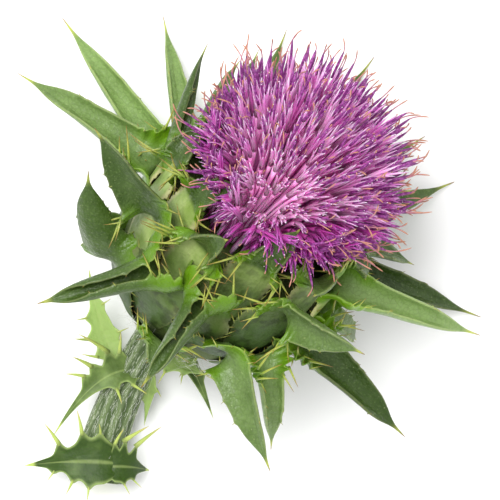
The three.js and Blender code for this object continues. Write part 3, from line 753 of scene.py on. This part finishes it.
stemForm = {
    # x, y, z and radius along the stem from its cut end, as in the frame
    "path": [
        (-30.6, -46.6, 4.7, 4.6), (-29.2, -38, 5, 4.4), (-25.4, -28, 6.2, 4.0), (-21, -20, 8.4, 3.7),
        (-16, -12.8, 12, 4.2),
    ],
    "ribs": 10, "ribDepth": 0.045, "rows": 150, "around": 140,
    # the cut end, a worn edge and then a flat face of pale pith with a sunken middle: share of the radius, depth
    "cutFace": [(0.0, 0.35), (0.12, 0.3), (0.35, 0.1), (0.62, 0.0), (0.82, 0.0), (0.94, -0.05)],
    "coreRows": 60, "coreAround": 96, "coreLeans": (179, 66), "coreLift": -1.6,  # the fleshy core under the scales
    "hairs": 900, "hairLength": 1.5, "hairRadius": 0.025, "hairCurl": 0.15, "hairStray": 0.12,
    "baseHairs": 700, "baseHairLength": 3.0, "baseCurl": 0.4, "baseStray": 0.35, "baseLeans": (122, 172),
}


def throughPoints(knots, t):
    # a smooth curve through the knots: Catmull-Rom, with the end slopes kept
    knots = np.asarray(knots, float)
    padded = np.concatenate([[2 * knots[0] - knots[1]], knots, [2 * knots[-1] - knots[-2]]])
    place = np.clip(t, 0, 1) * (len(knots) - 1)
    k = np.minimum(place.astype(int), len(knots) - 2)
    f = (place - k)[:, None]
    p0, p1, p2, p3 = [padded[k + n] for n in range(4)]
    square, cube = 2 * p0 - 5 * p1 + 4 * p2 - p3, 3 * p1 - p0 - 3 * p2 + p3
    return 0.5 * (2 * p1 + (p2 - p0) * f + square * f ** 2 + cube * f ** 3)


def stemPoint(t, angle, lift):
    # a point of the stem's skin: its centre plus the ribbed radius (1 + depth cos(ribs angle)), raised by lift
    knots = throughPoints(stemForm["path"], t)
    ahead = throughPoints(stemForm["path"], np.minimum(t + 0.01, 1))
    behind = throughPoints(stemForm["path"], np.maximum(t - 0.01, 0))
    tangent = unit(ahead[:, :3] - behind[:, :3])
    across = unit(np.cross([0, 0, 1.0], tangent))
    up = np.cross(tangent, across)
    ridge = np.cos(stemForm["ribs"] * angle + 1.5 * np.sin(3 * t))
    radius = knots[:, 3] * (1 + stemForm["ribDepth"] * ridge) + lift
    skin = knots[:, :3] + across * (radius * np.cos(angle))[:, None] + up * (radius * np.sin(angle))[:, None]
    return skin, 0.5 + 0.5 * ridge, tangent


def stemParts():
    # stemPoint on a grid of places along the stem and angles round it, with rings that close its cut end
    rows, around = stemForm["rows"], stemForm["around"]
    t, angle = np.meshgrid(np.linspace(0, 1, rows), np.linspace(0, 2 * np.pi, around, endpoint=False), indexing="ij")
    skin, ridge, _ = stemPoint(t.ravel(), angle.ravel(), 0.0)
    skin, ridge = skin.reshape(rows, around, 3), ridge.reshape(rows, around)
    middle = skin[0].mean(axis=0)
    inward = unit(skin[1].mean(axis=0) - middle)
    steps = stemForm["cutFace"]
    faces = [middle + (skin[0] - middle) * size + inward * sink for size, sink in steps]
    rings = np.concatenate([np.stack(faces), skin])
    face = np.concatenate([np.ones((len(steps), around)), np.zeros((rows, around))])
    ridges = np.concatenate([np.zeros((len(steps), around)), ridge])
    # a place on the skin in millimetres, the way along shortened to stretch the wool's streaks
    angles = angle[0][None]
    run = np.concatenate([np.zeros(len(steps)), np.linspace(0, 5, rows)])[:, None]
    values = {"ridge": ridges, "cut": face, "crevice": 0.0, "run": run}
    values.update(ringX=4 * np.cos(angles), ringY=4 * np.sin(angles))
    return makeSkin(rings, values)


def receptacleParts():
    # the globe's fleshy core, from the stem to the floor that the florets stand on
    leans = np.linspace(*stemForm["coreLeans"], stemForm["coreRows"])
    turns = np.linspace(-180, 180, stemForm["coreAround"], endpoint=False)
    lean, turn = np.meshgrid(leans, turns, indexing="ij")
    rings = globePoint(turn, lean, stemForm["coreLift"])
    top = rings[-1].mean(axis=0) + (rings[-1] - rings[-1].mean(axis=0)) * 0.05
    rings = np.concatenate([rings, top[None]])
    # painted shade: the core darkens up from 150 degrees of lean and is fully dark by 125, where it lies deep between
    # the scales
    crevice = np.ones(rings.shape[:2]) * np.clip((150 - np.concatenate([lean, lean[-1:]])) / 25, 0, 1)
    return makeSkin(rings, {"ridge": 0.6, "cut": 0.0, "crevice": crevice})


def woolParts(rng, root, along, outward, length, curl, stray):
    # hairs that leave the skin, lie over along it and curl by the running sum of random steps
    count = len(root)
    t = np.linspace(0, 1, 6)
    size = length * rng.uniform(0.5, 1.5, count)[:, None, None]
    lay = unit(along * rng.choice([-1, 1], count)[:, None] + stray * rng.normal(size=(count, 3)))
    wander = np.cumsum(rng.normal(0, curl, (count, len(t), 3)), axis=1)
    wander = wander - wander[:, :1]
    paths = root[:, None] + size * (t[:, None] * lay[:, None] + wander * t[:, None] * 0.4)
    paths = paths + outward[:, None] * (0.15 * np.sin(np.pi * t))[:, None]
    radii = stemForm["hairRadius"] * (1 - 0.6 * t) * np.ones((count, 1))
    return makeTubes(paths, radii, 4, {"along": t[None]}, material=1)


rng = np.random.default_rng(hairSeed)
hairT = rng.uniform(0.02, 0.98, stemForm["hairs"])
hairAngle = rng.uniform(0, 2 * np.pi, stemForm["hairs"])
hairRoot, _, hairAlong = stemPoint(hairT, hairAngle, 0.02)
hairOut = unit(stemPoint(hairT, hairAngle, 1.0)[0] - hairRoot)
stemWool = woolParts(
    rng, hairRoot, hairAlong, hairOut, stemForm["hairLength"], stemForm["hairCurl"], stemForm["hairStray"])
baseTurn = rng.uniform(-180, 180, stemForm["baseHairs"])
baseLean = rng.uniform(*stemForm["baseLeans"], stemForm["baseHairs"])
baseRoot = globePoint(baseTurn, baseLean, -0.4)
baseOut = unit(globePoint(baseTurn, baseLean, 1.0) - globePoint(baseTurn, baseLean, 0.0))
baseAlong = unit(globePoint(baseTurn, baseLean - 3, 0.0) - globePoint(baseTurn, baseLean, 0.0))
baseWool = woolParts(
    rng, baseRoot, baseAlong, baseOut, stemForm["baseHairLength"], stemForm["baseCurl"], stemForm["baseStray"])
buildPiece(
    "woolly_stem", [stemParts(), receptacleParts(), stemWool, baseWool], [stemMaterial, woolMaterial],
    ["stem_and_receptacle"])
print("stem made")


floretForm = {
    "count": 430, "spread": 110.0,  # degrees from the axis to the outermost florets on the dome
    "youngCount": 120,  # short florets at the rim, which open right above the bracts
    "youngFoot": (12.5, 14.5), "youngHeight": 17.0,
    "footRadius": 12.5, "footHeight": 11.0, "bendRadius": 11.0, "bendHeight": 28.0,
    "corollaReach": 19.9, "reachJitter": 1.5, "tubeRadius": 0.34,
    "lobe": 8.4, "lobeWidth": 0.33, "lobeFlat": 0.4, "flare": 0.7,
    # the hub, x and y of the spot that the florets fan out from, and how far they part around it
    "hub": (3.4, 9.0), "hubSize": 10.5, "hubSink": 0.3, "sinkSize": 10.0,
    "parting": 7.5, "partingSize": 12.0, "partingDrop": 0.25, "stayShare": 0.25,
    "anther": 3.2, "antherRadius": 0.28, "antherRoot": 2.5, "style": 4.6, "styleRadius": 0.13,
    "pollenShare": 0.35, "pollenSize": (0.05, 0.13),
    "rings": {"centre": (-20, 26), "inner": (26, 52), "outer": (52, 78), "rim": (78, 125)},  # degrees from the axis
}


def alongPath(start, bend, end, t):
    # quadratic Bezier curves, one for each floret, at t (florets, steps)
    t = t[..., None]
    return (1 - t) ** 2 * start[:, None] + 2 * t * (1 - t) * bend[:, None] + t ** 2 * end[:, None]


def aroundAxis(turn, radius, height):
    # points round the head's axis: radius cos(turn), radius sin(turn) and the height
    return np.stack([radius * np.cos(turn), radius * np.sin(turn), height * np.ones_like(turn)], axis=-1)


def floretFrames(rng):
    # florets spread evenly by the golden angle, each from its foot on the receptacle to its place on the dome
    count = floretForm["count"]
    share = (np.arange(count) + 0.5) / count
    height = 1 - (1 - np.cos(np.radians(floretForm["spread"]))) * share
    polar = np.arccos(height) + rng.normal(0, 0.025, count)
    turn = np.arange(count) * np.pi * (3 - np.sqrt(5)) + rng.normal(0, 0.04, count)
    reach = floretForm["corollaReach"] + rng.normal(0, floretForm["reachJitter"], count)
    foot = aroundAxis(turn, floretForm["footRadius"] * np.sqrt(share), floretForm["footHeight"])
    bend = aroundAxis(turn, floretForm["bendRadius"] * np.sqrt(share), floretForm["bendHeight"])
    end = aroundAxis(turn, reach * np.sin(polar), head["domeCentre"] + reach * np.cos(polar))
    young = floretForm["youngCount"]
    youngTurn = (np.arange(young) + rng.uniform(-0.5, 0.5, young)) * 2 * np.pi * 5 / young
    climb = rng.uniform(0, 1, young)
    youngFoot = aroundAxis(youngTurn, rng.uniform(*floretForm["youngFoot"], young), floretForm["youngHeight"])
    youngBend = aroundAxis(youngTurn, 15.4 + 1.2 * climb, 24.0 + 2.0 * climb)
    youngEnd = aroundAxis(youngTurn + rng.normal(0, 0.08, young), 19.0 + 2.0 * climb, 24.5 + 11.0 * climb)
    polar = np.concatenate([polar, np.radians(rng.uniform(90, 110, young))])
    joined = [np.concatenate(pair) for pair in ((foot, youngFoot), (bend, youngBend), (end, youngEnd))]
    foot, bend, end = [fromHead(points) for points in joined]
    # most florets part around the hub: their distance d from it, seen from above, grows to the root of d squared
    # plus a fading constant, and the few that stay are shorter
    away = end[:, :2] - np.array(floretForm["hub"])
    distance = np.linalg.norm(away, axis=1, keepdims=True)
    fade = np.exp(-(distance / floretForm["partingSize"]) ** 2)
    farther = np.sqrt(distance ** 2 + floretForm["parting"] ** 2 * fade)
    stays = rng.random(len(end)) < floretForm["stayShare"]
    parted = end.copy()
    parted[:, :2] += away * (farther / distance - 1)
    parted[:, 2:] -= floretForm["partingDrop"] * (farther - distance)
    short = end + (bend - end) * (floretForm["hubSink"] * np.exp(-(distance / floretForm["sinkSize"]) ** 2))
    end = np.where(stays[:, None], short, parted)
    return foot, bend, end, polar


def floretParts(rng, foot, bend, end, polar):
    # each floret's tube, lobes, anther tube, style and pollen, as tubes along curves that start on its own path
    form = floretForm
    count = len(foot)
    # florets near the hub are the palest and the ones at the rim the darkest, partly their own colour and partly
    # painted light and shade; the lower side is darkened further by painted shade
    near = np.exp(-(np.linalg.norm(end[:, :2] - np.array(form["hub"]), axis=1) / form["hubSize"]) ** 2)
    rimward = np.clip((np.degrees(polar) - 60) / 40, 0, 1)
    # painted shade: florets more than 3 mm on the -Y side of the hub darken, fully by 8 mm
    lowerSideShade = np.clip((form["hub"][1] - 3 - end[:, 1]) / 5, 0, 1)
    tone = np.clip(rng.uniform(0.2, 1.0, count) + near - 0.8 * rimward - 0.9 * lowerSideShade, 0, 1)[:, None]
    length = np.linalg.norm(end - bend, axis=1) + np.linalg.norm(bend - foot, axis=1)
    throat = 1 - form["lobe"] * rng.uniform(0.85, 1.15, count) / np.maximum(length, form["lobe"] * 1.9)
    # the tube widens slowly to its throat
    t = np.linspace(0.05, 1, 8)
    paths = alongPath(foot, bend, end, t * throat[:, None])
    radii = form["tubeRadius"] * (0.8 + 0.7 * t ** 6) * np.ones((count, 1))
    parts = [makeTubes(paths, radii, 6, {"along": 0.45 * t[None], "tone": tone})]
    # five lobes leave the throat side by side, open outwards and curl at their ends
    t = np.linspace(0, 1, 6)
    axisPoints = alongPath(foot, bend, end, throat[:, None] + (1 - throat[:, None]) * t)
    direction = unit(end - alongPath(foot, bend, end, throat[:, None] * 0.97)[:, 0])
    sideways = unit(np.cross(direction, rng.normal(size=(count, 3))))
    upwards = np.cross(direction, sideways)
    lobeTurn = np.arange(5) * 2 * np.pi / 5 + rng.uniform(0, 2 * np.pi, (count, 1)) + rng.normal(0, 0.15, (count, 5))
    away = np.cos(lobeTurn)[..., None] * sideways[:, None] + np.sin(lobeTurn)[..., None] * upwards[:, None]
    flare = form["flare"] * rng.uniform(0.2, 1.9, (count, 5, 1)) * (1 - 0.85 * near[:, None, None])
    stretch = rng.uniform(0.8, 1.15, (count, 5, 1))
    aside = 0.3 + flare * t ** 2.2
    lobes = axisPoints[:, None] + away[:, :, None] * aside[..., None]
    lobes = lobes + direction[:, None, None] * ((stretch - 1) * form["lobe"] * t)[..., None]
    curl = rng.normal(0, 0.22, (count, 5, 1, 3)) * (t ** 3)[:, None]
    lobes = (lobes + curl).reshape(count * 5, len(t), 3)
    breadth = form["lobeWidth"] * np.array([0.9, 1.0, 1.0, 0.9, 0.7, 0.15]) * (1 + 0.4 * np.repeat(near, 5)[:, None])
    values = {"along": 0.45 + 0.55 * t[None], "tone": np.repeat(tone, 5, axis=0)}
    parts.append(makeTubes(lobes, breadth, 5, values, flat=form["lobeFlat"], normals=away.reshape(-1, 3)))
    # the anther tube stands beyond the lobes, and the style grows out of it
    sway = unit(direction + 0.1 * rng.normal(size=(count, 3)))
    longer = form["anther"] * rng.uniform(0.55, 1.25, (count, 1, 1)) * (1 - 0.6 * near[:, None, None])
    t = np.linspace(0, 1, 6)
    base = end - direction * form["antherRoot"]
    anthers = base[:, None] + sway[:, None] * ((form["antherRoot"] + longer) * t[:, None])
    radii = form["antherRadius"] * np.array([0.8, 1.0, 1.05, 1.05, 0.9, 0.45]) * (1 - 0.6 * near[:, None])
    parts.append(makeTubes(anthers, radii, 6, {"along": t[None], "tone": tone}, material=1))
    t = np.linspace(0, 1, 9)
    older = np.clip((np.degrees(polar) - 25) / 60, 0, 1) * np.clip((118 - np.degrees(polar)) / 34, 0.2, 1)
    older = older[:, None, None]
    reach = form["style"] * rng.uniform(0.25, 1.0, (count, 1, 1)) * (0.5 + 0.75 * older)
    reach = reach * (1 - 0.5 * near[:, None, None])
    hook = unit(np.cross(sway, rng.normal(size=(count, 3)))) * rng.uniform(0.1, 0.75, (count, 1))
    rise = sway[:, None] * t[:, None] + hook[:, None] * (t ** 2)[:, None]
    styles = anthers[:, -1:] - sway[:, None] * 0.4 + reach * rise
    radii = form["styleRadius"] * np.array([0.9, 1, 1, 1, 1, 1.1, 1.25, 1.1, 0.5]) * (1 - 0.4 * near[:, None])
    parts.append(makeTubes(styles, radii, 5, {"along": t[None], "tone": tone}, material=2))
    # pollen sits in small clumps on the anthers
    clumps = anthers[:, 2:6].reshape(-1, 3)
    clumps = clumps[rng.random(len(clumps)) < form["pollenShare"]]
    clumps = clumps + rng.normal(0, 0.22, clumps.shape)
    size = rng.uniform(*form["pollenSize"], (len(clumps), 1))
    grain = unit(rng.normal(size=(len(clumps), 3)))[:, None] * np.array([-1, -0.4, 0.4, 1])[:, None] * size[:, None]
    radii = size * np.array([0.3, 1.0, 1.0, 0.3])
    parts.append(makeTubes(clumps[:, None] + grain, radii, 5, {"along": 0.5}, material=3))
    return parts


rng = np.random.default_rng(floretSeed)
floretFoot, floretBend, floretEnd, floretPolar = floretFrames(rng)
for ringName, (low, high) in floretForm["rings"].items():
    chosen = (np.degrees(floretPolar) >= low) & (np.degrees(floretPolar) < high)
    parts = floretParts(rng, floretFoot[chosen], floretBend[chosen], floretEnd[chosen], floretPolar[chosen])
    materials = [corollaMaterial, antherMaterial, styleMaterial, pollenMaterial]
    buildPiece(f"{ringName}_florets", parts, materials, [f"florets_{ringName}"])
print("florets made")


stage = {  # metres, and watts for the key
    "floor": 1.2, "paper": "#fafafa", "paperShade": "#f6f6f6",
    "cameraHeight": 2.0, "fieldWidth": 0.1, "focusHeight": 0.0255, "sensor": 36, "sight": 20,
    "key": (-0.24, 0.26, 1.0), "keySize": 0.6, "keyPower": 11.0, "fillStrength": 1.04,
}

floorMesh = bpy.data.meshes.new("pale_floor")
half = stage["floor"] / 2
floorMesh.from_pydata([(-half, -half, 0), (half, -half, 0), (half, half, 0), (-half, half, 0)], [], [(0, 1, 2, 3)])
floor = bpy.data.objects.new("pale_floor", floorMesh)
bpy.context.scene.collection.objects.link(floor)
# Paper, pressed and uncoated: a dead pale white that varies a little over about 60 mm.
floorMaterial, add, shader, place = startMaterial("white paper floor")
paper = add("Mix", add("TexNoise", place, 1 / (60.0 * mm), 3.0), stage["paperShade"], stage["paper"], **rgba)
fill(shader, {"Base Color": paper, "Roughness": 0.95})
floorMesh.materials.append(floorMaterial)

world = bpy.data.worlds.new("soft studio")
bpy.context.scene.world = world
world.use_nodes = True
fill(world.node_tree.nodes["Background"], {"Color": "#ffffff", "Strength": stage["fillStrength"]})

keyLight = bpy.data.lights.new("soft key", "AREA")
keyLight.shape = "DISK"
keyLight.size = stage["keySize"]
keyLight.energy = stage["keyPower"]
key = bpy.data.objects.new("soft key", keyLight)
key.location = stage["key"]
key.rotation_euler = (-Vector(stage["key"])).to_track_quat("-Z", "Y").to_euler()
bpy.context.scene.collection.objects.link(key)

lens = bpy.data.cameras.new("camera")
lens.sensor_width = stage["sensor"]
lens.lens = stage["sensor"] * (stage["cameraHeight"] - stage["focusHeight"]) / stage["fieldWidth"]
lens.clip_end = stage["sight"]
camera = bpy.data.objects.new("camera", lens)
camera.location = (0, 0, stage["cameraHeight"])
bpy.context.scene.collection.objects.link(camera)
bpy.context.scene.camera = camera
bpy.context.scene.view_settings.view_transform = "Standard"
print("stage made")
